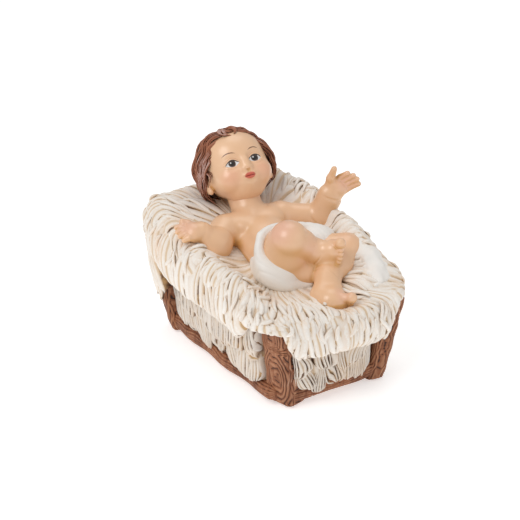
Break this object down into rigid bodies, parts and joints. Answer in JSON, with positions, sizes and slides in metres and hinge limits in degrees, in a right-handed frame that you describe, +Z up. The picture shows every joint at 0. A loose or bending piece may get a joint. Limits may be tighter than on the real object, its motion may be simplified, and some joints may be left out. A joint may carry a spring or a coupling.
{
  "type": "nativity infant figurine",
  "caption": "One-piece resin figurine of an infant with open arms and crossed legs, lying on straw that overflows a low wooden manger.",
  "frame": {"origin": "on the ground under the middle of the figurine's box", "axes": "+Z up, +Y towards the infant's head, -X on the infant's right side"},
  "size_m": [0.0999, 0.1329, 0.1048],
  "materials": {
    "painted_straw": "cast resin painted ivory, with an ochre and brown wash in the grooves",
    "painted_skin": "cast resin painted in a peach skin colour, satin, with an orange brown wash in the creases",
    "painted_hair": "cast resin painted reddish brown, with darker grooves and pale dry-brushed ridges",
    "painted_cloth": "cast resin painted white, with a grey wash in the folds",
    "painted_wood": "cast resin painted as brown wood, with dark grain lines and worn lighter ridges"
  },
  "bodies": {
    "root": {"nativity_infant": "painted_straw"}
  },
  "joints": []
}
